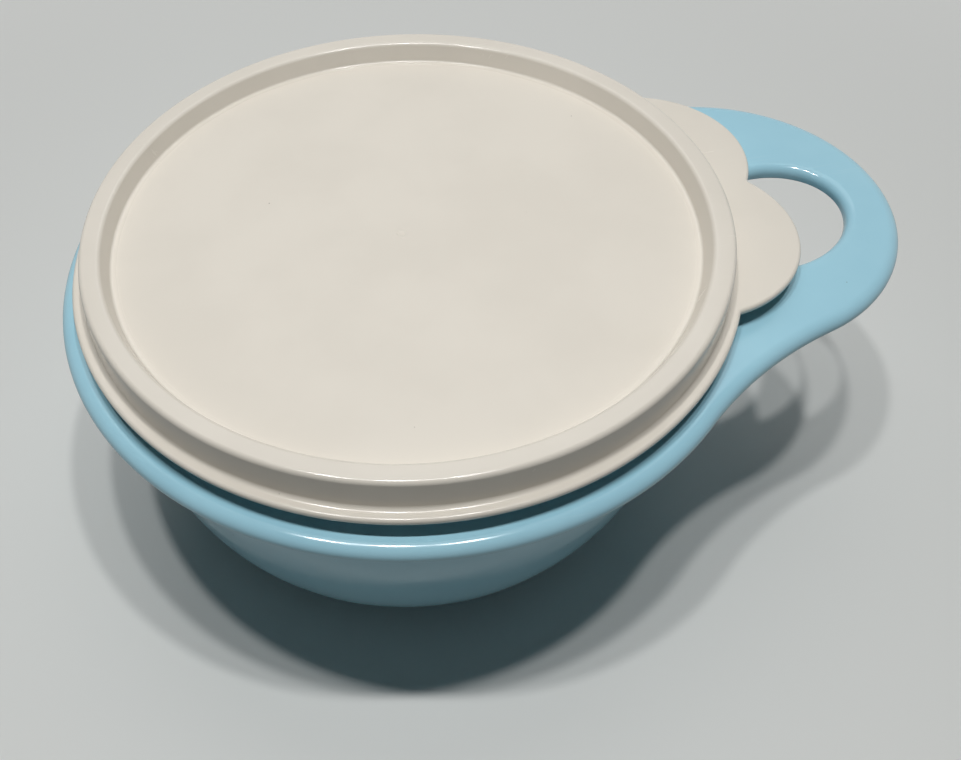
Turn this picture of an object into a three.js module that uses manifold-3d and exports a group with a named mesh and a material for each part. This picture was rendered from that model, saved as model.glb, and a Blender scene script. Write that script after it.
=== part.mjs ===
// Food storage bowl with a thumb-hole handle, and the press-on lid that seals it.
// Millimetres, +Z up. The origin is the centre of the flat underside, and the handle points along +X.
import * as THREE from 'three';
import { mergeVertices } from 'three/addons/utils/BufferGeometryUtils.js';
import Module from 'manifold-3d';

const wasm = await Module();
wasm.setup();
const radians = THREE.MathUtils.degToRad;

// Bowl: base and wall
const BASE_RADIUS = 59; // flat underside
const BASE_THICKNESS = 2.4;
const CURVE_HEIGHT = 60; // height of the curve that leads from the base into the wall
const WALL_RADIUS = 88.2; // outside of the wall at the flange
const WALL_DRAFT = 0.5; // the wall is this much narrower where the curve begins
const WALL_THICKNESS = 2.4;

// Bowl: flange with a turned-down lip, and the sealing rim that stands above it
const FLANGE_HEIGHT = 81.6; // from the underside to the top of the flange
const FLANGE_WIDTH = 11.9; // from the wall to the outside of the lip
const FLANGE_THICKNESS = 2.2;
const LIP_DEPTH = 4; // the thickness of the flange included
const LIP_THICKNESS = 2.2;
const LIP_ROUND_WIDTH = 3.8; // the rounded upper edge, seen from above
const LIP_ROUND_HEIGHT = 2.9;
const LIP_FOOT_ROUND = 0.8;
const SEALING_RIM_HEIGHT = 14.3; // above the flange
const SEALING_RIM_THICKNESS = 2.6;
const SEALING_RIM_STEP = 0.6; // the inside of the rim stands back from the inside of the wall
const SEALING_RIM_ROUND = 0.8;

// Bowl: handle, where the flange widens on one side
const HANDLE_REACH = 47; // from the outside of the flange to the tip
const HANDLE_END_RADIUS = 52.7;
const HANDLE_BLEND_RADIUS = 117; // hollow curve on each side, from the flange to the round end

// Bowl: thumb hole, an oval that is cut off straight along the flange
const HOLE_LENGTH = 47.8; // of the oval, the end that is cut off included
const HOLE_WIDTH = 39.2;
const HOLE_TURN = radians(26); // the oval's length is turned by this from the handle's centre line
const HOLE_SHIFT = -5.7; // sideways from the handle's centre line
const HOLE_TO_TIP = 13.2; // from the end of the oval, before its turn, to the tip of the handle
const HOLE_TO_FLANGE = 1.5; // from the flange's circle to the straight side
const HOLE_CORNER_RADIUS = 3;
const HOLE_ROUND = 2.6; // upper edge

// Lid: recessed panel, hollow bead that grips the sealing rim, skirt and pull tab
const SEAL_CLEARANCE = 0.3; // between the sealing rim and the bead, at its sides and above it
const LID_WALL_THICKNESS = 1.6;
const BEAD_ROUND = 1.4; // both upper edges of the bead
const BEAD_DRAFT = 1.3; // the bead's inner wall leans in by this on its way down to the panel
const BEAD_FLARE = 0.6; // the outer wall spreads by this on its way down to the skirt
const PANEL_RECESS = 5.3; // from the top of the bead to the panel
const PANEL_THICKNESS = 1.6;
const PANEL_FILLET = 0.9; // between the panel and the bead
const SKIRT_GAP = 4.4; // from the flange up to the skirt
const SKIRT_WIDTH = 3.5; // from the foot of the bead to the edge
const SKIRT_THICKNESS = 2.2;
const SKIRT_ROUND = 1; // both edges of the skirt and of the tab
const TAB_REACH = 15; // beyond the skirt
const TAB_LOBE_RADIUS = 31.7;
const TAB_LOBE_OFFSET = 17.3; // from the tab's centre line to the centre of each lobe
const TAB_NOTCH_RADIUS = 1.4; // hollow curve between the two lobes
const LID_TURN = 1.8; // degrees from the tab's centre line to the handle's

// How finely curves are cut into straight steps
const TURN_STEPS = 72; // a full turn about the bowl's axis
const CURVE_STEPS = 9; // the curve of the wall
const ROUND_STEPS = 3; // a rounded edge
const END_STEPS = 22; // the end of the handle
const BLEND_STEPS = 8; // each hollow curve beside the handle
const HOLE_STEPS = 26; // the oval of the thumb hole
const LOBE_STEPS = 18; // each lobe of the tab
const CUT_MARGIN = 1; // cutting solids reach this far past what they cut

// Heights and radii that follow from the sizes above
const QUARTER_TURN = Math.PI / 2;
const wallInside = WALL_RADIUS - WALL_THICKNESS;
const ceiling = FLANGE_HEIGHT - FLANGE_THICKNESS;
const rimInside = wallInside + SEALING_RIM_STEP;
const rimOutside = rimInside + SEALING_RIM_THICKNESS;
const sealingRimTop = FLANGE_HEIGHT + SEALING_RIM_HEIGHT;
const lipFoot = FLANGE_HEIGHT - LIP_DEPTH;
const flangeRadius = WALL_RADIUS + FLANGE_WIDTH;
const handleTip = flangeRadius + HANDLE_REACH;
const grooveRoof = sealingRimTop + SEAL_CLEARANCE;
const grooveInner = rimInside - SEAL_CLEARANCE;
const grooveOuter = rimOutside + SEAL_CLEARANCE;
const beadTop = grooveRoof + LID_WALL_THICKNESS;
const beadInner = grooveInner - LID_WALL_THICKNESS;
const beadOuter = grooveOuter + LID_WALL_THICKNESS;
const panelTop = beadTop - PANEL_RECESS;
const skirtFoot = FLANGE_HEIGHT + SKIRT_GAP;
const skirtTop = skirtFoot + SKIRT_THICKNESS;
const skirtRadius = beadOuter + BEAD_FLARE + SKIRT_WIDTH;

// Points of a circular arc. It runs clockwise where the angle falls.
function arc(x, y, radius, from, to, steps) {
  return new THREE.EllipseCurve(x, y, radius, radius, from, to, to < from).getPoints(steps);
}

// Points of a quarter of an ellipse, in the (radius, height) plane of a turned profile.
function quarter(x, y, width, height, from, steps) {
  return new THREE.EllipseCurve(x, y, width, height, from, from + QUARTER_TURN).getPoints(steps);
}

// A closed geometry as a solid that can be joined and cut.
function solid(geometry) {
  const bare = geometry.index ? geometry.toNonIndexed() : geometry.clone();
  bare.deleteAttribute('normal');
  bare.deleteAttribute('uv');
  const merged = mergeVertices(bare, 1e-4);
  const corners = merged.index.array;
  const triangles = [];
  for (let i = 0; i < corners.length; i += 3) {
    const [a, b, c] = corners.slice(i, i + 3);
    if (a !== b && b !== c && c !== a) {
      triangles.push(a, b, c);
    }
  }
  const vertProperties = new Float32Array(merged.attributes.position.array);
  const triVerts = new Uint32Array(triangles);
  return new wasm.Manifold(new wasm.Mesh({ numProp: 3, vertProperties, triVerts }));
}

// A profile of (radius, height) points turned about the bowl's axis. It starts and ends on the axis.
function turned(profile) {
  const geometry = new THREE.LatheGeometry(profile, TURN_STEPS);
  geometry.rotateX(QUARTER_TURN);
  return solid(geometry);
}

// A solid through a stack of outlines, bottom to top, each counter-clockwise with as many points as the next.
function stacked(levels) {
  const positions = levels.flatMap(({ outline, z }) => outline.flatMap((p) => [p.x, p.y, z]));
  const count = levels[0].outline.length;
  const triangles = [];
  for (let level = 1; level < levels.length; level++) {
    const below = (level - 1) * count;
    const above = level * count;
    for (let i = 0; i < count; i++) {
      const next = (i + 1) % count;
      triangles.push(below + i, below + next, above + next);
      triangles.push(below + i, above + next, above + i);
    }
  }
  const last = (levels.length - 1) * count;
  for (const [a, b, c] of THREE.ShapeUtils.triangulateShape(levels[0].outline, [])) {
    triangles.push(c, b, a);
  }
  for (const [a, b, c] of THREE.ShapeUtils.triangulateShape(levels.at(-1).outline, [])) {
    triangles.push(last + a, last + b, last + c);
  }
  const geometry = new THREE.BufferGeometry();
  geometry.setAttribute('position', new THREE.Float32BufferAttribute(positions, 3));
  geometry.setIndex(triangles);
  return solid(geometry);
}

// An outline raised straight from one height to another.
function prism(outline, from, to) {
  return stacked([{ outline, z: from }, { outline, z: to }]);
}

// The levels of a plate with rounded edges. outlineAt gives the outline drawn in by a distance.
function roundedLevels(outlineAt, foot, footRound, top, topWidth, topHeight) {
  const levels = [];
  for (let i = 0; i <= ROUND_STEPS; i++) {
    const angle = (QUARTER_TURN * i) / ROUND_STEPS;
    const inset = footRound * (1 - Math.sin(angle));
    levels.push({ outline: outlineAt(inset), z: foot + footRound * (1 - Math.cos(angle)) });
  }
  for (let i = 0; i <= ROUND_STEPS; i++) {
    const angle = (QUARTER_TURN * i) / ROUND_STEPS;
    const inset = topWidth * (1 - Math.cos(angle));
    levels.push({ outline: outlineAt(inset), z: top - topHeight * (1 - Math.sin(angle)) });
  }
  return levels;
}

// Outline of the flange and the handle, drawn in by a distance.
function flangeOutline(inset) {
  const rim = flangeRadius - inset;
  const end = HANDLE_END_RADIUS - inset;
  const blend = HANDLE_BLEND_RADIUS + inset;
  const endX = handleTip - HANDLE_END_RADIUS;
  // the blend touches the flange's circle and the round end, so its centre lies at known distances from both
  const blendX = ((rim + blend) ** 2 - (end + blend) ** 2 + endX ** 2) / (2 * endX);
  const blendY = Math.sqrt((rim + blend) ** 2 - blendX ** 2);
  const rimAngle = Math.atan2(blendY, blendX);
  const endAngle = Math.atan2(blendY, blendX - endX);
  const upper = arc(blendX, blendY, blend, endAngle + Math.PI, rimAngle + Math.PI, BLEND_STEPS).slice(1);
  const lower = upper.map((p) => new THREE.Vector2(p.x, -p.y)).reverse();
  const round = arc(0, 0, rim, rimAngle, 2 * Math.PI - rimAngle, TURN_STEPS - 16);
  return [...arc(endX, 0, end, -endAngle, endAngle, END_STEPS), ...upper, ...round.slice(1, -1), ...lower];
}

// Outline of the thumb hole, widened by a distance.
function holeOutline(grow) {
  const corner = HOLE_CORNER_RADIUS + grow;
  const length = HOLE_LENGTH / 2 - HOLE_CORNER_RADIUS;
  const width = HOLE_WIDTH / 2 - HOLE_CORNER_RADIUS;
  const centre = new THREE.Vector2(handleTip - HOLE_TO_TIP - HOLE_LENGTH / 2, HOLE_SHIFT);
  const straight = flangeRadius + HOLE_TO_FLANGE + HOLE_CORNER_RADIUS;
  // where the turned oval meets the straight side
  const lengthX = length * Math.cos(HOLE_TURN);
  const widthX = width * Math.sin(HOLE_TURN);
  const meets = Math.acos((straight - centre.x) / Math.hypot(lengthX, widthX));
  const phase = Math.atan2(widthX, lengthX);
  const points = [];
  const normals = [];
  for (let i = 0; i <= HOLE_STEPS; i++) {
    const angle = -phase - meets + (2 * meets * i) / HOLE_STEPS;
    const point = new THREE.Vector2(length * Math.cos(angle), width * Math.sin(angle));
    const normal = new THREE.Vector2(width * Math.cos(angle), length * Math.sin(angle)).normalize();
    points.push(point.rotateAround(new THREE.Vector2(), HOLE_TURN).add(centre));
    normals.push(normal.rotateAround(new THREE.Vector2(), HOLE_TURN));
  }
  const outline = points.map((p, i) => p.clone().addScaledVector(normals[i], corner));
  const upperTurn = arc(points.at(-1).x, points.at(-1).y, corner, normals.at(-1).angle(), Math.PI, ROUND_STEPS);
  const lowerTurn = arc(points[0].x, points[0].y, corner, Math.PI, normals[0].angle(), ROUND_STEPS);
  return [...outline, ...upperTurn.slice(1), ...lowerTurn.slice(0, -1)];
}

// Outline of the pull tab, drawn in by a distance. Its straight side lies inside the lid.
function tabOutline(inset) {
  const lobe = TAB_LOBE_RADIUS - inset;
  const lobeX = skirtRadius + TAB_REACH - TAB_LOBE_RADIUS;
  const notchX = lobeX + Math.sqrt((TAB_LOBE_RADIUS + TAB_NOTCH_RADIUS) ** 2 - TAB_LOBE_OFFSET ** 2);
  const meets = Math.atan2(TAB_LOBE_OFFSET, notchX - lobeX);
  const root = radians(120);
  const upper = arc(lobeX, TAB_LOBE_OFFSET, lobe, -meets, root, LOBE_STEPS);
  const lower = upper.map((p) => new THREE.Vector2(p.x, -p.y)).reverse();
  const notch = arc(notchX, 0, TAB_NOTCH_RADIUS + inset, Math.PI + meets, Math.PI - meets, ROUND_STEPS);
  return [...lower, ...notch.slice(1, -1), ...upper];
}

// The outside of the bowl as a full solid, from the base to the top of the sealing rim
function bowlOutside() {
  const curveRadius = WALL_RADIUS - WALL_DRAFT;
  const round = SEALING_RIM_ROUND;
  return turned([
    new THREE.Vector2(0, 0),
    ...quarter(BASE_RADIUS, CURVE_HEIGHT, curveRadius - BASE_RADIUS, CURVE_HEIGHT, -QUARTER_TURN, CURVE_STEPS),
    new THREE.Vector2(WALL_RADIUS, ceiling),
    new THREE.Vector2(rimOutside, FLANGE_HEIGHT),
    ...quarter(rimOutside - round, sealingRimTop - round, round, round, 0, ROUND_STEPS),
    new THREE.Vector2(0, sealingRimTop),
  ]);
}

// The hollow of the bowl, with the rounded inner edge of the sealing rim
function bowlInside() {
  const curveRadius = wallInside - WALL_DRAFT;
  const curveHeight = CURVE_HEIGHT - BASE_THICKNESS;
  const round = SEALING_RIM_ROUND;
  const mouth = arc(rimInside + round, sealingRimTop - round, round, Math.PI, QUARTER_TURN, ROUND_STEPS);
  return turned([
    new THREE.Vector2(0, BASE_THICKNESS),
    ...quarter(BASE_RADIUS, CURVE_HEIGHT, curveRadius - BASE_RADIUS, curveHeight, -QUARTER_TURN, CURVE_STEPS),
    new THREE.Vector2(wallInside, FLANGE_HEIGHT),
    new THREE.Vector2(rimInside, FLANGE_HEIGHT + SEALING_RIM_STEP),
    ...mouth,
    new THREE.Vector2(rimInside + round, sealingRimTop + CUT_MARGIN),
    new THREE.Vector2(0, sealingRimTop + CUT_MARGIN),
  ]);
}

// The flange and the handle: a plate with a turned-down lip at its edge and round the thumb hole, hollow below
function flangePlate() {
  const below = lipFoot - CUT_MARGIN;
  const levels = roundedLevels(
    flangeOutline, lipFoot, LIP_FOOT_ROUND, FLANGE_HEIGHT, LIP_ROUND_WIDTH, LIP_ROUND_HEIGHT,
  );
  const plate = stacked(levels);
  const hollow = prism(flangeOutline(LIP_THICKNESS), below, ceiling);
  const holeLip = prism(holeOutline(LIP_THICKNESS), below - CUT_MARGIN, FLANGE_HEIGHT);
  const holeLevels = [{ outline: holeOutline(0), z: below }];
  for (let i = 0; i <= ROUND_STEPS; i++) {
    const angle = (QUARTER_TURN * i) / ROUND_STEPS;
    const outline = holeOutline(HOLE_ROUND * (1 - Math.cos(angle)));
    holeLevels.push({ outline, z: FLANGE_HEIGHT - HOLE_ROUND * (1 - Math.sin(angle)) });
  }
  holeLevels.push({ outline: holeOutline(HOLE_ROUND), z: FLANGE_HEIGHT + CUT_MARGIN });
  return plate.subtract(hollow.subtract(holeLip)).subtract(stacked(holeLevels));
}

// The lid's panel, bead and skirt
function lidBody() {
  const footRadius = beadOuter + BEAD_FLARE;
  const panelRadius = beadInner - BEAD_DRAFT - PANEL_FILLET;
  const edge = skirtRadius - SKIRT_ROUND;
  const beadEdge = beadTop - BEAD_ROUND;
  const fillet = arc(panelRadius, panelTop + PANEL_FILLET, PANEL_FILLET, 0, -QUARTER_TURN, ROUND_STEPS);
  return turned([
    new THREE.Vector2(0, panelTop - PANEL_THICKNESS),
    new THREE.Vector2(grooveInner - BEAD_DRAFT, panelTop - PANEL_THICKNESS),
    new THREE.Vector2(grooveInner, grooveRoof),
    new THREE.Vector2(grooveOuter, grooveRoof),
    new THREE.Vector2(grooveOuter + BEAD_FLARE, skirtFoot),
    ...quarter(edge, skirtFoot + SKIRT_ROUND, SKIRT_ROUND, SKIRT_ROUND, -QUARTER_TURN, ROUND_STEPS),
    ...quarter(edge, skirtTop - SKIRT_ROUND, SKIRT_ROUND, SKIRT_ROUND, 0, ROUND_STEPS),
    new THREE.Vector2(footRadius, skirtTop),
    ...quarter(beadOuter - BEAD_ROUND, beadEdge, BEAD_ROUND, BEAD_ROUND, 0, ROUND_STEPS),
    ...quarter(beadInner + BEAD_ROUND, beadEdge, BEAD_ROUND, BEAD_ROUND, QUARTER_TURN, ROUND_STEPS),
    ...fillet,
    new THREE.Vector2(0, panelTop),
  ]);
}

// The two-lobed pull tab, in one plane with the skirt
function pullTab() {
  const withinSkirt = skirtRadius - SKIRT_WIDTH / 2;
  const tab = stacked(roundedLevels(tabOutline, skirtFoot, SKIRT_ROUND, skirtTop, SKIRT_ROUND, SKIRT_ROUND));
  const circle = arc(0, 0, withinSkirt, 0, 2 * Math.PI, TURN_STEPS).slice(1);
  return tab.subtract(prism(circle, skirtFoot - CUT_MARGIN, skirtTop + CUT_MARGIN));
}

// A named mesh of a finished solid.
function piece(name, body, material) {
  const { vertProperties, triVerts } = body.getMesh();
  const geometry = new THREE.BufferGeometry();
  geometry.setAttribute('position', new THREE.BufferAttribute(vertProperties, 3));
  geometry.setIndex(new THREE.BufferAttribute(triVerts, 1));
  geometry.computeVertexNormals();
  const mesh = new THREE.Mesh(geometry, material);
  mesh.name = name;
  return mesh;
}

const bluePlastic = new THREE.MeshStandardMaterial({ color: 0x9fd0e0, roughness: 0.3, metalness: 0 });
const creamPlastic = new THREE.MeshStandardMaterial({ color: 0xe6ddd3, roughness: 0.4, metalness: 0 });

const bowl = flangePlate().add(bowlOutside()).subtract(bowlInside());
const lid = lidBody().add(pullTab()).rotate(0, 0, LID_TURN);

const part = new THREE.Group();
part.add(piece('bowl', bowl, bluePlastic));
part.add(piece('lid', lid, creamPlastic));

export default part;
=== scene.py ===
# Dresses the food storage bowl and its lid: fine meshes, plastics, floor, lamps and the camera.
import math

import bpy
from mathutils import Matrix, Vector
from mathutils.geometry import delaunay_2d_cdt


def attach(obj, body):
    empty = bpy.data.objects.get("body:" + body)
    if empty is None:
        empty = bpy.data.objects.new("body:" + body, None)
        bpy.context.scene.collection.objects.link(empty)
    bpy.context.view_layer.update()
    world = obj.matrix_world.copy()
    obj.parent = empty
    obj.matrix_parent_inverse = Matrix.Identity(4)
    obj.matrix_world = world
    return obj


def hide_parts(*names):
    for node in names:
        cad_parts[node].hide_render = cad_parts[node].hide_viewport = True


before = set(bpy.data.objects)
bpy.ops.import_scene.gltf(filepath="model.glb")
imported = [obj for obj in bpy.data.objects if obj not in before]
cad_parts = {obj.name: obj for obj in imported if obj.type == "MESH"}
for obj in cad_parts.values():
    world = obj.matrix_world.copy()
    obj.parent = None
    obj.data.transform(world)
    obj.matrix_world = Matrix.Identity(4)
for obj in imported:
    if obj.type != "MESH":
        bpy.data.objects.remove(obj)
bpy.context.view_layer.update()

MM = 0.001
TAU = 2 * math.pi
HALF_PI = math.pi / 2

# Bowl sizes in millimetres
BASE_RADIUS = 59
BASE_THICKNESS = 2.4
CURVE_HEIGHT = 60
WALL_RADIUS = 88.2
WALL_DRAFT = 0.5
WALL_THICKNESS = 2.4
FLANGE_HEIGHT = 81.6
FLANGE_RADIUS = 100.1
FLANGE_THICKNESS = 2.2
FLANGE_FILLET = 0.8
LIP_DEPTH = 4
LIP_THICKNESS = 2.2
LIP_ROUND_WIDTH = 3.8
LIP_ROUND_HEIGHT = 2.9
LIP_FOOT_ROUND = 0.8
LIP_INNER_ROUND = 0.4
SEALING_RIM_TOP = 95.9
SEALING_RIM_INSIDE = 86.4
SEALING_RIM_OUTSIDE = 89
SEALING_RIM_STEP = 0.6
SEALING_RIM_ROUND = 0.8
HANDLE_TIP = 147.1
HANDLE_END_RADIUS = 52.7
HANDLE_BLEND_RADIUS = 117
HOLE_CENTRE = (110, -5.7)
HOLE_HALF_LENGTH = 23.9
HOLE_HALF_WIDTH = 19.6
HOLE_TURN = math.radians(26)
HOLE_STRAIGHT = 101.6
HOLE_CORNER_RADIUS = 3
HOLE_ROUND = 2.6
HOLE_FOOT_ROUND = 0.5

# Lid sizes in millimetres
PANEL_TOP = 92.5
PANEL_THICKNESS = 1.6
PANEL_FILLET = 0.9
BEAD_TOP = 97.8
BEAD_INNER = 84.5
BEAD_OUTER = 90.9
BEAD_ROUND = 1.4
BEAD_DRAFT = 1.3
BEAD_INNER_LEAN = math.radians(20.7)
BEAD_OUTER_LEAN = math.radians(4.2)
BEAD_FLARE = 0.6
BEAD_FOOT_FILLET = 1.4
GROOVE_ROOF = 96.2
GROOVE_INNER = 86.1
GROOVE_OUTER = 89.3
GROOVE_ROUND = 0.4
SKIRT_FOOT = 86
SKIRT_TOP = 88.2
SKIRT_RADIUS = 95
SKIRT_ROUND = 1
TAB_REACH = 15
TAB_LOBE_RADIUS = 31.7
TAB_LOBE_OFFSET = 17.3
TAB_NOTCH_RADIUS = 1.4
TAB_ROOT_FILLET = 1.2
LID_TURN = math.radians(1.8)
GATE_RADIUS = 1.5
GATE_DEPTH = 0.12

# Mould gate mark: shares of its radius and of its depth, from the middle outwards
GATE_PROFILE = ((0, -1), (0.6, -1), (0.8, 0), (1, 1), (1.2, 0), (1.4, 0))

# How finely curves are cut, and the flat border beside a rounded edge
TURN_STEPS = 240
ROUND_STEPS = 10
CURVE_STEPS = 48
HOLE_STEPS = 120
LIP_STEPS = 4
BASE_RINGS = 4
PANEL_RINGS = 5
BEND_STEPS = 6
EDGE_STEP = 1.3
BORDER = 0.3
SAME_POINT = 0.02
FILL_TOLERANCE = 1e-6


def arc(x, y, width, start, end, steps, height=None):
    """Points of an arc, both ends included. It is part of an ellipse where a height is given."""
    height = height or width
    angles = [start + (end - start) * i / steps for i in range(steps + 1)]
    return [(x + width * math.cos(a), y + height * math.sin(a)) for a in angles]


def reach(drop, rounds, lean):
    """Sideways distance between the centres of two rounds, on opposite sides of one leaning wall."""
    return (drop * math.sin(lean) + rounds) / math.cos(lean)


class Outline:
    """A closed counter-clockwise outline in plan, with the outward normal at each point."""

    def __init__(self):
        self.points = []
        self.normals = []

    def bend(self, x, y, radius, start, end):
        """Adds an arc. A hollow arc has a falling angle and its normal points to its centre."""
        hollow = -1 if end < start else 1
        steps = max(BEND_STEPS, math.ceil(abs(end - start) * radius / EDGE_STEP))
        for i in range(steps + 1):
            a = start + (end - start) * i / steps
            self.points.append((x + radius * math.cos(a), y + radius * math.sin(a)))
            self.normals.append((hollow * math.cos(a), hollow * math.sin(a)))

    def close(self, turn=0.0):
        """Drops points that lie on the one before and turns the outline about the bowl's axis."""
        points, normals = [], []
        for p, n in zip(self.points, self.normals):
            if not points or math.dist(p, points[-1]) > SAME_POINT:
                points.append(p)
                normals.append(n)
        if math.dist(points[0], points[-1]) < SAME_POINT:
            points.pop()
            normals.pop()
        c, s = math.cos(turn), math.sin(turn)
        self.points = [(c * x - s * y, s * x + c * y) for x, y in points]
        self.normals = [(c * x - s * y, s * x + c * y) for x, y in normals]
        return self

    def at(self, offset):
        """The outline moved outwards by a distance."""
        return [(p[0] + offset * n[0], p[1] + offset * n[1]) for p, n in zip(self.points, self.normals)]


def flange_outline():
    """The rim's circle, the two hollow blends and the round end of the handle."""
    end_x = HANDLE_TIP - HANDLE_END_RADIUS
    to_axis = FLANGE_RADIUS + HANDLE_BLEND_RADIUS
    to_end = HANDLE_END_RADIUS + HANDLE_BLEND_RADIUS
    blend_x = (to_axis**2 - to_end**2 + end_x**2) / (2 * end_x)
    blend_y = math.sqrt(to_axis**2 - blend_x**2)
    rim = math.atan2(blend_y, blend_x)
    end = math.atan2(blend_y, blend_x - end_x)
    out = Outline()
    out.bend(end_x, 0, HANDLE_END_RADIUS, -end, end)
    out.bend(blend_x, blend_y, HANDLE_BLEND_RADIUS, end + math.pi, rim + math.pi)
    out.bend(0, 0, FLANGE_RADIUS, rim, TAU - rim)
    out.bend(blend_x, -blend_y, HANDLE_BLEND_RADIUS, math.pi - rim, math.pi - end)
    return out.close()


def hole_outline():
    """An oval cut off straight along the flange, with rounded corners there."""
    length = HOLE_HALF_LENGTH - HOLE_CORNER_RADIUS
    width = HOLE_HALF_WIDTH - HOLE_CORNER_RADIUS
    c, s = math.cos(HOLE_TURN), math.sin(HOLE_TURN)
    straight = HOLE_STRAIGHT + HOLE_CORNER_RADIUS
    meets = math.acos((straight - HOLE_CENTRE[0]) / math.hypot(length * c, width * s))
    phase = math.atan2(width * s, length * c)
    out = Outline()
    inner = []
    for i in range(HOLE_STEPS + 1):
        a = -phase - meets + 2 * meets * i / HOLE_STEPS
        x, y = length * math.cos(a), width * math.sin(a)
        nx, ny = width * math.cos(a), length * math.sin(a)
        size = math.hypot(nx, ny)
        point = (HOLE_CENTRE[0] + c * x - s * y, HOLE_CENTRE[1] + s * x + c * y)
        normal = ((c * nx - s * ny) / size, (s * nx + c * ny) / size)
        inner.append((point, normal))
        corner = [p + HOLE_CORNER_RADIUS * d for p, d in zip(point, normal)]
        out.points.append(tuple(corner))
        out.normals.append(normal)
    (last, last_normal), (first, first_normal) = inner[-1], inner[0]
    out.bend(*last, HOLE_CORNER_RADIUS, math.atan2(last_normal[1], last_normal[0]), math.pi)
    out.bend(*first, HOLE_CORNER_RADIUS, math.pi, math.atan2(first_normal[1], first_normal[0]) + TAU)
    return out.close()


def tab_outline():
    """The skirt's circle and the two lobes of the tab, with small hollow fillets between them."""
    lobe_x = SKIRT_RADIUS + TAB_REACH - TAB_LOBE_RADIUS
    notch_x = lobe_x + math.sqrt((TAB_LOBE_RADIUS + TAB_NOTCH_RADIUS) ** 2 - TAB_LOBE_OFFSET**2)
    meets = math.atan2(TAB_LOBE_OFFSET, notch_x - lobe_x)
    # the root fillet touches the skirt's circle and the lobe
    centre = Vector((lobe_x, TAB_LOBE_OFFSET))
    to_axis = SKIRT_RADIUS + TAB_ROOT_FILLET
    to_lobe = TAB_LOBE_RADIUS + TAB_ROOT_FILLET
    apart = centre.length
    along = (to_axis**2 - to_lobe**2 + apart**2) / (2 * apart)
    aside = math.sqrt(to_axis**2 - along**2)
    unit = centre.normalized()
    fillet = unit * along + Vector((-unit.y, unit.x)) * aside
    skirt_angle = math.atan2(fillet.y, fillet.x)
    lobe_angle = math.atan2(fillet.y - centre.y, fillet.x - centre.x)
    out = Outline()
    out.bend(lobe_x, -TAB_LOBE_OFFSET, TAB_LOBE_RADIUS, -lobe_angle, meets)
    out.bend(notch_x, 0, TAB_NOTCH_RADIUS, math.pi + meets, math.pi - meets)
    out.bend(lobe_x, TAB_LOBE_OFFSET, TAB_LOBE_RADIUS, -meets, lobe_angle)
    out.bend(fillet.x, fillet.y, TAB_ROOT_FILLET, lobe_angle + math.pi, skirt_angle + math.pi)
    out.bend(0, 0, SKIRT_RADIUS, skirt_angle, TAU - skirt_angle)
    out.bend(fillet.x, -fillet.y, TAB_ROOT_FILLET, math.pi - skirt_angle, math.pi - lobe_angle)
    return out.close(LID_TURN)


class Skin:
    """A closed surface built from turned strips, swept strips and flat fills that share their rings."""

    def __init__(self):
        self.verts = []
        self.faces = []

    def ring(self, points, z):
        start = len(self.verts)
        self.verts += [(x, y, z) for x, y in points]
        return list(range(start, len(self.verts)))

    def join(self, first, second):
        """Quads between two rings. Their front is on the right of the way from the first to the second."""
        count = len(first)
        for i in range(count):
            k = (i + 1) % count
            self.faces.append((first[i], first[k], second[k], second[i]))

    def turned(self, profile):
        """A strip turned about the axis, front on the left.

        A first or last point on the axis closes it with a fan.
        """
        angles = [TAU * i / TURN_STEPS for i in range(TURN_STEPS)]
        circle = [(math.cos(a), math.sin(a)) for a in angles]
        rings = [self.ring([(r * x, r * y) for x, y in circle], z) for r, z in profile if r > 0]
        for first, second in zip(rings, rings[1:]):
            self.join(second, first)
        for end, ring, flip in ((profile[0], rings[0], False), (profile[-1], rings[-1], True)):
            if end[0] == 0:
                tip = len(self.verts)
                self.verts.append((0, 0, end[1]))
                for i in range(TURN_STEPS):
                    a, b = ring[i], ring[(i + 1) % TURN_STEPS]
                    self.faces.append((b, a, tip) if flip else (a, b, tip))
        return rings[0], rings[-1]

    def swept(self, outline, profile):
        """A strip along an outline through points of (offset, height), front on the right."""
        rings = [self.ring(outline.at(offset), z) for offset, z in profile]
        for first, second in zip(rings, rings[1:]):
            self.join(first, second)
        return rings[0], rings[-1]

    def fill(self, outer, holes, up):
        """Flat triangles between an outer ring and the rings inside it."""
        loops = [outer, *holes]
        ids = [i for loop in loops for i in loop]
        flat = [Vector(self.verts[i][:2]) for i in ids]
        edges = []
        start = 0
        for loop in loops:
            count = len(loop)
            edges += [(start + i, start + (i + 1) % count) for i in range(count)]
            start += count
        coords, _, faces, sources, _, _ = delaunay_2d_cdt(flat, edges, [], 0, FILL_TOLERANCE)
        rings = [[self.verts[i][:2] for i in loop] for loop in loops]
        for face in faces:
            x = sum(coords[i].x for i in face) / len(face)
            y = sum(coords[i].y for i in face) / len(face)
            if inside(rings[0], x, y) and not any(inside(ring, x, y) for ring in rings[1:]):
                corners = [ids[sources[i][0]] for i in face]
                self.faces.append(corners if up else corners[::-1])

    def build(self, name, material, body, slot):
        mesh = bpy.data.meshes.new(name)
        mesh.from_pydata([Vector(v) * MM for v in self.verts], [], self.faces)
        mesh.validate()
        mesh.polygons.foreach_set("use_smooth", [True] * len(mesh.polygons))
        mesh.materials.append(material)
        obj = bpy.data.objects.new(name, mesh)
        bpy.context.scene.collection.objects.link(obj)
        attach(obj, body)
        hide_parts(body)
        return obj


def inside(ring, x, y):
    """Whether a point lies in a closed ring of points."""
    odd = False
    for (ax, ay), (bx, by) in zip(ring, ring[1:] + ring[:1]):
        if (ay > y) != (by > y) and x < ax + (y - ay) * (bx - ax) / (by - ay):
            odd = not odd
    return odd


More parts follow.
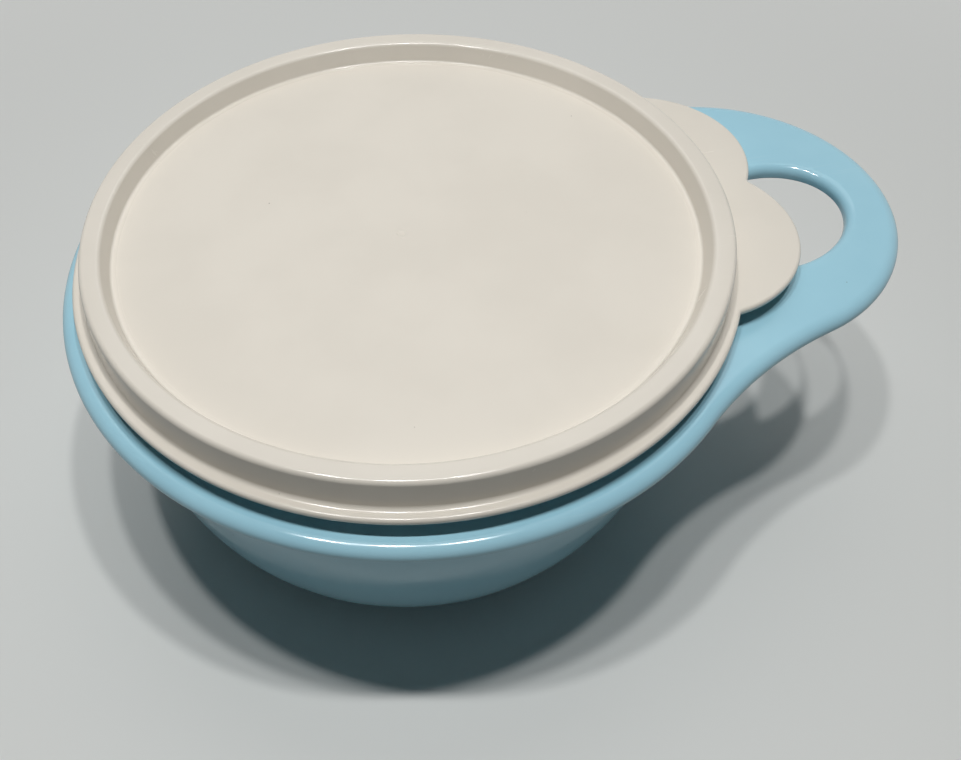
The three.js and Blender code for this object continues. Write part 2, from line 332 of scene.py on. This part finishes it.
def bowl_skin():
    skin = Skin()
    ceiling = FLANGE_HEIGHT - FLANGE_THICKNESS
    foot = FLANGE_HEIGHT - LIP_DEPTH
    wall_inside = WALL_RADIUS - WALL_THICKNESS
    rim_round = SEALING_RIM_ROUND
    rim_edge = SEALING_RIM_TOP - rim_round
    flange = flange_outline()
    hole = hole_outline()
    # from the underside of the flange down the outer wall to the middle of the base
    curve_width = WALL_RADIUS - WALL_DRAFT - BASE_RADIUS
    outer_curve = arc(BASE_RADIUS, CURVE_HEIGHT, curve_width, 0, -HALF_PI, CURVE_STEPS, CURVE_HEIGHT)
    under_x = WALL_RADIUS + FLANGE_FILLET
    under_fillet = arc(under_x, ceiling - FLANGE_FILLET, FLANGE_FILLET, HALF_PI, math.pi, ROUND_STEPS)
    base_radii = [BASE_RADIUS * k / BASE_RINGS for k in range(1, BASE_RINGS)]
    base = [(r, 0) for r in base_radii[::-1]]
    under_ring, _ = skin.turned([(under_x + BORDER, ceiling), *under_fillet, *outer_curve, *base, (0, 0)])
    # from the middle of the floor up the inside, over the sealing rim and down to the flange
    floor = [(r, BASE_THICKNESS) for r in [0, *base_radii]]
    curve_height = CURVE_HEIGHT - BASE_THICKNESS
    curve_width -= WALL_THICKNESS
    inner_curve = arc(BASE_RADIUS, CURVE_HEIGHT, curve_width, -HALF_PI, 0, CURVE_STEPS, curve_height)
    step_top = FLANGE_HEIGHT + SEALING_RIM_STEP
    step = [(wall_inside, FLANGE_HEIGHT - BORDER), (wall_inside, FLANGE_HEIGHT)]
    step += [(SEALING_RIM_INSIDE, step_top), (SEALING_RIM_INSIDE, step_top + BORDER)]
    over = arc(SEALING_RIM_INSIDE + rim_round, rim_edge, rim_round, math.pi, HALF_PI, ROUND_STEPS)
    over += arc(SEALING_RIM_OUTSIDE - rim_round, rim_edge, rim_round, HALF_PI, 0, ROUND_STEPS)
    top_x = SEALING_RIM_OUTSIDE + FLANGE_FILLET
    fillet_z = FLANGE_HEIGHT + FLANGE_FILLET
    top_fillet = arc(top_x, fillet_z, FLANGE_FILLET, math.pi, 1.5 * math.pi, ROUND_STEPS)
    inside_wall = [*floor, *inner_curve, *step, *over, *top_fillet, (top_x + BORDER, FLANGE_HEIGHT)]
    _, top_ring = skin.turned(inside_wall)
    # the edge of the flange, from its top round the lip to the ceiling of the hollow below
    r = LIP_INNER_ROUND
    lip_inside = arc(r - LIP_THICKNESS, foot + r, r, -HALF_PI, -math.pi, LIP_STEPS)
    lip_inside += arc(-r - LIP_THICKNESS, ceiling - r, r, 0, HALF_PI, LIP_STEPS)
    lip_inside.append((-LIP_THICKNESS - r - BORDER, ceiling))
    edge_z = FLANGE_HEIGHT - LIP_ROUND_HEIGHT
    lip = [(-LIP_ROUND_WIDTH - BORDER, FLANGE_HEIGHT)]
    lip += arc(-LIP_ROUND_WIDTH, edge_z, LIP_ROUND_WIDTH, HALF_PI, 0, 2 * ROUND_STEPS, LIP_ROUND_HEIGHT)
    lip += arc(-LIP_FOOT_ROUND, foot + LIP_FOOT_ROUND, LIP_FOOT_ROUND, 0, -HALF_PI, ROUND_STEPS)
    edge_under, edge_top = skin.swept(flange, (lip + lip_inside)[::-1])
    # the edge of the thumb hole, the same way round
    bore = [(HOLE_ROUND + BORDER, FLANGE_HEIGHT)]
    bore += arc(HOLE_ROUND, FLANGE_HEIGHT - HOLE_ROUND, HOLE_ROUND, HALF_PI, math.pi, ROUND_STEPS)
    hole_foot = foot + HOLE_FOOT_ROUND
    bore += arc(HOLE_FOOT_ROUND, hole_foot, HOLE_FOOT_ROUND, math.pi, 1.5 * math.pi, ROUND_STEPS)
    bore += [(-x, y) for x, y in lip_inside]
    hole_top, hole_under = skin.swept(hole, bore)
    skin.fill(edge_top, [top_ring, hole_top], True)
    skin.fill(edge_under, [under_ring, hole_under], False)
    return skin


def lid_skin():
    skin = Skin()
    under_panel = PANEL_TOP - PANEL_THICKNESS
    bead_edge = BEAD_TOP - BEAD_ROUND
    edge = tab_outline()
    # the top, from the middle of the panel over the bead to the skirt
    # the bead's walls run tangent into the hollow fillets at their feet
    inner_x = BEAD_INNER + BEAD_ROUND
    outer_x = BEAD_OUTER - BEAD_ROUND
    panel_z = PANEL_TOP + PANEL_FILLET
    foot_z = SKIRT_TOP + BEAD_FOOT_FILLET
    panel_radius = inner_x - reach(bead_edge - panel_z, BEAD_ROUND + PANEL_FILLET, BEAD_INNER_LEAN)
    foot_x = outer_x + reach(bead_edge - foot_z, BEAD_ROUND + BEAD_FOOT_FILLET, BEAD_OUTER_LEAN)
    gate = [(GATE_RADIUS * across, PANEL_TOP + GATE_DEPTH * rise) for across, rise in GATE_PROFILE]
    panel_radii = [panel_radius * k / PANEL_RINGS for k in range(1, PANEL_RINGS)]
    panel = [(r, PANEL_TOP) for r in [*panel_radii, panel_radius - BORDER]]
    fillet = arc(panel_radius, panel_z, PANEL_FILLET, -HALF_PI, -BEAD_INNER_LEAN, ROUND_STEPS)
    bead = arc(inner_x, bead_edge, BEAD_ROUND, math.pi - BEAD_INNER_LEAN, HALF_PI, ROUND_STEPS)
    bead += arc(outer_x, bead_edge, BEAD_ROUND, HALF_PI, BEAD_OUTER_LEAN, ROUND_STEPS)
    foot = arc(foot_x, foot_z, BEAD_FOOT_FILLET, math.pi + BEAD_OUTER_LEAN, 1.5 * math.pi, ROUND_STEPS)
    _, top_ring = skin.turned([*gate, *panel, *fillet, *bead, *foot, (foot_x + BORDER, SKIRT_TOP)])
    # the underside, from the skirt through the sealing groove to the middle of the panel
    mouth = GROOVE_OUTER + BEAD_FLARE
    inner_foot = GROOVE_INNER - BEAD_DRAFT
    r = GROOVE_ROUND
    groove = [(mouth + r + BORDER, SKIRT_FOOT)]
    groove += arc(mouth + r, SKIRT_FOOT + r, r, -HALF_PI, -math.pi, ROUND_STEPS)
    groove += arc(GROOVE_OUTER - r, GROOVE_ROOF - r, r, 0, HALF_PI, ROUND_STEPS)
    groove += arc(GROOVE_INNER + r, GROOVE_ROOF - r, r, HALF_PI, math.pi, ROUND_STEPS)
    groove += arc(inner_foot - r, under_panel + r, r, 0, -HALF_PI, ROUND_STEPS)
    inner = [(x, under_panel) for x in [inner_foot - r - BORDER, *panel_radii[::-1]]]
    under_ring, _ = skin.turned([*groove, *inner, (0, under_panel)])
    # the rounded edge of the skirt and the tab
    rim = [(-SKIRT_ROUND - BORDER, SKIRT_FOOT)]
    rim += arc(-SKIRT_ROUND, SKIRT_FOOT + SKIRT_ROUND, SKIRT_ROUND, -HALF_PI, 0, ROUND_STEPS)
    rim += arc(-SKIRT_ROUND, SKIRT_TOP - SKIRT_ROUND, SKIRT_ROUND, 0, HALF_PI, ROUND_STEPS)
    rim.append((-SKIRT_ROUND - BORDER, SKIRT_TOP))
    edge_under, edge_top = skin.swept(edge, rim)
    skin.fill(edge_top, [top_ring], True)
    skin.fill(edge_under, [under_ring], False)
    return skin


def linear(red, green, blue):
    """A colour given in 8-bit display values, as the linear values of the shaders."""
    def channel(v):
        v /= 255
        return v / 12.92 if v <= 0.04045 else ((v + 0.055) / 1.055) ** 2.4
    return (channel(red), channel(green), channel(blue), 1)


class Nodes:
    """Adds nodes to the tree of a material or a world and links them."""

    def __init__(self, owner):
        owner.use_nodes = True
        self.tree = owner.node_tree

    def shader(self, name):
        return self.tree.nodes[name]

    def add(self, kind, **settings):
        node = self.tree.nodes.new(kind)
        for key, value in settings.items():
            if hasattr(node, key):
                setattr(node, key, value)
            else:
                node.inputs[key.replace("_", " ")].default_value = value
        return node

    def link(self, source, target):
        self.tree.links.new(source, target)

    def noise(self, coords, scale, detail):
        node = self.add("ShaderNodeTexNoise", Scale=scale, Detail=detail)
        self.link(coords, node.inputs["Vector"])
        return node.outputs["Fac"]

    def streaks(self, coords, turn):
        """Noise drawn out along one way in plan."""
        mapping = self.add("ShaderNodeMapping", Rotation=(0, 0, turn), Scale=STREAK_SCALE)
        self.link(coords, mapping.inputs["Vector"])
        return self.noise(mapping.outputs["Vector"], 1, 2)

    def math(self, operation, first, second):
        node = self.add("ShaderNodeMath", operation=operation)
        self.link(first, node.inputs[0])
        self.link(second, node.inputs[1])
        return node.outputs["Value"]

    def ramp(self, value, low, high, to_low, to_high):
        node = self.add("ShaderNodeMapRange", From_Min=low, From_Max=high, To_Min=to_low, To_Max=to_high)
        node.interpolation_type = "SMOOTHSTEP"
        self.link(value, node.inputs["Value"])
        return node.outputs["Result"]

    def mix(self, factor, first, second):
        node = self.add("ShaderNodeMix", data_type="RGBA")
        for socket, value in ((node.inputs[6], first), (node.inputs[7], second)):
            if isinstance(value, tuple):
                socket.default_value = value
            else:
                self.link(value, socket)
        self.link(factor, node.inputs[0])
        return node.outputs[2]

    def seen(self):
        """1 on rays that show a thing or its mirror image, 0 on rays that carry light to others."""
        path = self.add("ShaderNodeLightPath").outputs
        mirrored = self.math("MAXIMUM", path["Is Glossy Ray"], path["Is Transmission Ray"])
        return self.math("MAXIMUM", path["Is Camera Ray"], mirrored)


def plastic(name, colour, shade, roughness, spread, grain, satin=0):
    """Moulded plastic in use: clouds in colour and gloss, grain, sink marks, scuffs and specks.

    A satin value adds that much roughness to the panel inside the bead.
    """
    material = bpy.data.materials.new(name)
    n = Nodes(material)
    shader = n.shader("Principled BSDF")
    coords = n.add("ShaderNodeTexCoord").outputs["Object"]
    clouds = n.ramp(n.noise(coords, CLOUD_SCALE, 4), *CLOUD_RANGE, 0, 1)
    # scuffs are thin streaks that lie two ways, and show in patches only
    patches = n.ramp(n.noise(coords, PATCH_SCALE, 2), *PATCH_RANGE, 0, 1)
    streaks = [n.ramp(n.streaks(coords, turn), *STREAK_RANGE, 0, 1) for turn in SCUFF_TURNS]
    scuffs = n.math("MULTIPLY", n.math("MAXIMUM", *streaks), patches)
    # specks are small balls of dirt, cut by the surface
    dots = n.add("ShaderNodeTexVoronoi", Scale=SPECK_SCALE)
    n.link(coords, dots.inputs["Vector"])
    specks = n.ramp(dots.outputs["Distance"], SPECK_CORE, SPECK_SIZE, SPECK_MIX, 0)
    clean = n.mix(clouds, colour, shade)
    worn = n.mix(n.ramp(scuffs, 0, 1, 0, SCUFF_MIX), clean, SCUFF_COLOUR)
    n.link(n.mix(specks, worn, SPECK_COLOUR), shader.inputs["Base Color"])
    gloss_noise = n.noise(coords, GLOSS_SCALE, 5)
    gloss = n.ramp(gloss_noise, *GLOSS_RANGE, roughness - spread, roughness + spread)
    if satin:
        plan = n.add("ShaderNodeVectorMath", operation="MULTIPLY")
        plan.inputs[1].default_value = (1, 1, 0)
        n.link(coords, plan.inputs[0])
        radius = n.add("ShaderNodeVectorMath", operation="LENGTH")
        n.link(plan.outputs["Vector"], radius.inputs[0])
        panel = n.ramp(radius.outputs["Value"], SATIN_RADIUS - SATIN_FADE, SATIN_RADIUS, satin, 0)
        gloss = n.math("ADD", gloss, panel)
    n.link(n.math("ADD", gloss, n.ramp(scuffs, 0, 1, 0, SCUFF_ROUGHNESS)), shader.inputs["Roughness"])
    fine = n.add("ShaderNodeBump", Strength=GRAIN_STRENGTH, Distance=grain)
    n.link(n.noise(coords, GRAIN_SCALE, 2), fine.inputs["Height"])
    wide = n.add("ShaderNodeBump", Strength=SINK_STRENGTH, Distance=SINK_DEPTH)
    n.link(n.noise(coords, SINK_SCALE, 1), wide.inputs["Height"])
    n.link(fine.outputs["Normal"], wide.inputs["Normal"])
    n.link(wide.outputs["Normal"], shader.inputs["Normal"])
    shader.inputs["IOR"].default_value = PLASTIC_IOR
    return material


# Plastics: noise scales per metre, shares and depths in metres
CLOUD_SCALE = 26
CLOUD_RANGE = (0.35, 0.65)
PATCH_SCALE = 34
PATCH_RANGE = (0.54, 0.7)
STREAK_SCALE = (30, 1500, 300)
STREAK_RANGE = (0.62, 0.7)
GLOSS_SCALE = 60
GLOSS_RANGE = (0.3, 0.7)
GRAIN_SCALE = 1500
GRAIN_STRENGTH = 0.25
SINK_SCALE = 30
SINK_STRENGTH = 0.3
SINK_DEPTH = 0.0004
PLASTIC_IOR = 1.49
SCUFF_TURNS = (0.5, -0.9)
SCUFF_MIX = 0.03
SCUFF_ROUGHNESS = 0.1
SCUFF_COLOUR = linear(246, 244, 240)
SPECK_SCALE = 90
SPECK_SIZE = 0.022
SPECK_CORE = SPECK_SIZE * 0.7
SPECK_MIX = 0.55
SPECK_COLOUR = linear(92, 78, 64)
SATIN_RADIUS = 0.082
SATIN_FADE = 0.0015
BLUE = (linear(163, 210, 226), linear(158, 206, 223))
BLUE_GLOSS = (0.15, 0.03)
BLUE_GRAIN = 0.00002
CREAM = (linear(227, 220, 208), linear(223, 216, 204))
CREAM_GLOSS = (0.18, 0.04)
CREAM_GRAIN = 0.00003
PANEL_SATIN = 0.2
blue = plastic("blue_plastic", *BLUE, *BLUE_GLOSS, BLUE_GRAIN)
cream = plastic("cream_plastic", *CREAM, *CREAM_GLOSS, CREAM_GRAIN, satin=PANEL_SATIN)

bowl_skin().build("bowl_shell", blue, "bowl", "blue_plastic")
lid_skin().build("lid_shell", cream, "lid", "cream_plastic")

# Floor, which keeps the shadow and turns into the pale backdrop further out
FLOOR_SIZE = 8
BACKDROP = linear(212, 213, 211)
FLOOR_COLOUR = linear(222, 223, 220)
FLOOR_BOUNCE = linear(185, 186, 184)
FLOOR_ROUGHNESS = 0.55
BACKDROP_FROM = 0.2
BACKDROP_TO = 0.65
floor_material = bpy.data.materials.new("floor")
n = Nodes(floor_material)
surface = n.shader("Principled BSDF")
n.link(n.mix(n.seen(), FLOOR_BOUNCE, FLOOR_COLOUR), surface.inputs["Base Color"])
surface.inputs["Roughness"].default_value = FLOOR_ROUGHNESS
distance = n.add("ShaderNodeVectorMath", operation="LENGTH")
n.link(n.add("ShaderNodeNewGeometry").outputs["Position"], distance.inputs[0])
outward = n.ramp(distance.outputs["Value"], BACKDROP_FROM, BACKDROP_TO, 0, 1)
blend = n.add("ShaderNodeMixShader")
n.link(n.math("MULTIPLY", outward, n.seen()), blend.inputs[0])
n.link(surface.outputs["BSDF"], blend.inputs[1])
n.link(n.add("ShaderNodeEmission", Color=BACKDROP).outputs["Emission"], blend.inputs[2])
n.link(blend.outputs["Shader"], n.shader("Material Output").inputs["Surface"])
floor_mesh = bpy.data.meshes.new("floor")
half = FLOOR_SIZE / 2
corners = [(-half, -half, 0), (half, -half, 0), (half, half, 0), (-half, half, 0)]
floor_mesh.from_pydata(corners, [], [(0, 1, 2, 3)])
floor_mesh.materials.append(floor_material)
floor_object = bpy.data.objects.new("floor", floor_mesh)
bpy.context.scene.collection.objects.link(floor_object)

# Photograph's camera: heading of the handle as seen, place about the lid and turn of the optical axis
HANDLE_HEADING = math.radians(11.2)
CAMERA_DISTANCE = 308.96
CAMERA_RISE = math.radians(42.0456)
CAMERA_PAN = math.radians(-3.3053)
CAMERA_TILT = math.radians(-13.9813)
CAMERA_ROLL = math.radians(-5.6081)
IMAGE_WIDTH = 961
SENSOR_WIDTH = 36
NEAREST_SEEN = 0.01
FOCAL_PIXELS = 1035.64
CENTRE_RIGHT = 133.19
CENTRE_UP = 130.22

to_part = Matrix.Rotation(-HANDLE_HEADING, 3, "Z")
away = Vector((0, -math.cos(CAMERA_RISE), math.sin(CAMERA_RISE)))
side = Vector((1, 0, 0))
ahead = -away + math.tan(CAMERA_PAN) * side + math.tan(CAMERA_TILT) * side.cross(-away)
ahead.normalize()
right = ahead.cross(Vector((0, 0, 1))).normalized()
above = right.cross(ahead)
axis_x = math.cos(CAMERA_ROLL) * right + math.sin(CAMERA_ROLL) * above
axis_y = -math.sin(CAMERA_ROLL) * right + math.cos(CAMERA_ROLL) * above
columns = [to_part @ v for v in (axis_x, axis_y, -ahead)]
place = (to_part @ (away * CAMERA_DISTANCE) + Vector((0, 0, SKIRT_FOOT))) * MM
camera_data = bpy.data.cameras.new("camera")
camera_data.sensor_width = SENSOR_WIDTH
camera_data.lens = FOCAL_PIXELS / IMAGE_WIDTH * SENSOR_WIDTH
camera_data.shift_x = CENTRE_RIGHT / IMAGE_WIDTH
camera_data.shift_y = CENTRE_UP / IMAGE_WIDTH
camera_data.clip_start = NEAREST_SEEN
camera = bpy.data.objects.new("camera", camera_data)
camera.matrix_world = Matrix.Translation(place) @ Matrix(columns).transposed().to_4x4()
bpy.context.scene.collection.objects.link(camera)
bpy.context.scene.camera = camera


def lamp(name, x, y, z, size, power):
    """A round lamp that shines straight down. Its place is given from the side the photograph was taken."""
    data = bpy.data.lights.new(name, "AREA")
    data.shape = "DISK"
    data.size = size
    data.energy = power
    obj = bpy.data.objects.new(name, data)
    obj.location = to_part @ Vector((x, y, z))
    obj.visible_camera = False
    bpy.context.scene.collection.objects.link(obj)


# Lamps: a row of three above the lid and a wide one beyond it, in metres and watts
LAMP_SPACING = 0.165
LAMP_MIDDLE = (-0.025, -0.09, 0.986)
LAMP_SIZE = 0.05
LAMP_POWER = 2
SOFTBOX_PLACE = (0, 0.46, 0.75)
SOFTBOX_SIZE = 0.8
SOFTBOX_POWER = 1.7
for i in (-1, 0, 1):
    x, y, z = LAMP_MIDDLE
    lamp(f"lamp_{i + 1}", x + i * LAMP_SPACING, y, z, LAMP_SIZE, LAMP_POWER)
lamp("far_softbox", *SOFTBOX_PLACE, SOFTBOX_SIZE, SOFTBOX_POWER)

FILL = (0.015, 0.021, 0.024, 1)
world = bpy.data.worlds.new("studio")
n = Nodes(world)
n.link(n.mix(n.seen(), FILL, BACKDROP), n.shader("Background").inputs["Color"])
bpy.context.scene.world = world
bpy.context.scene.view_settings.view_transform = "Standard"
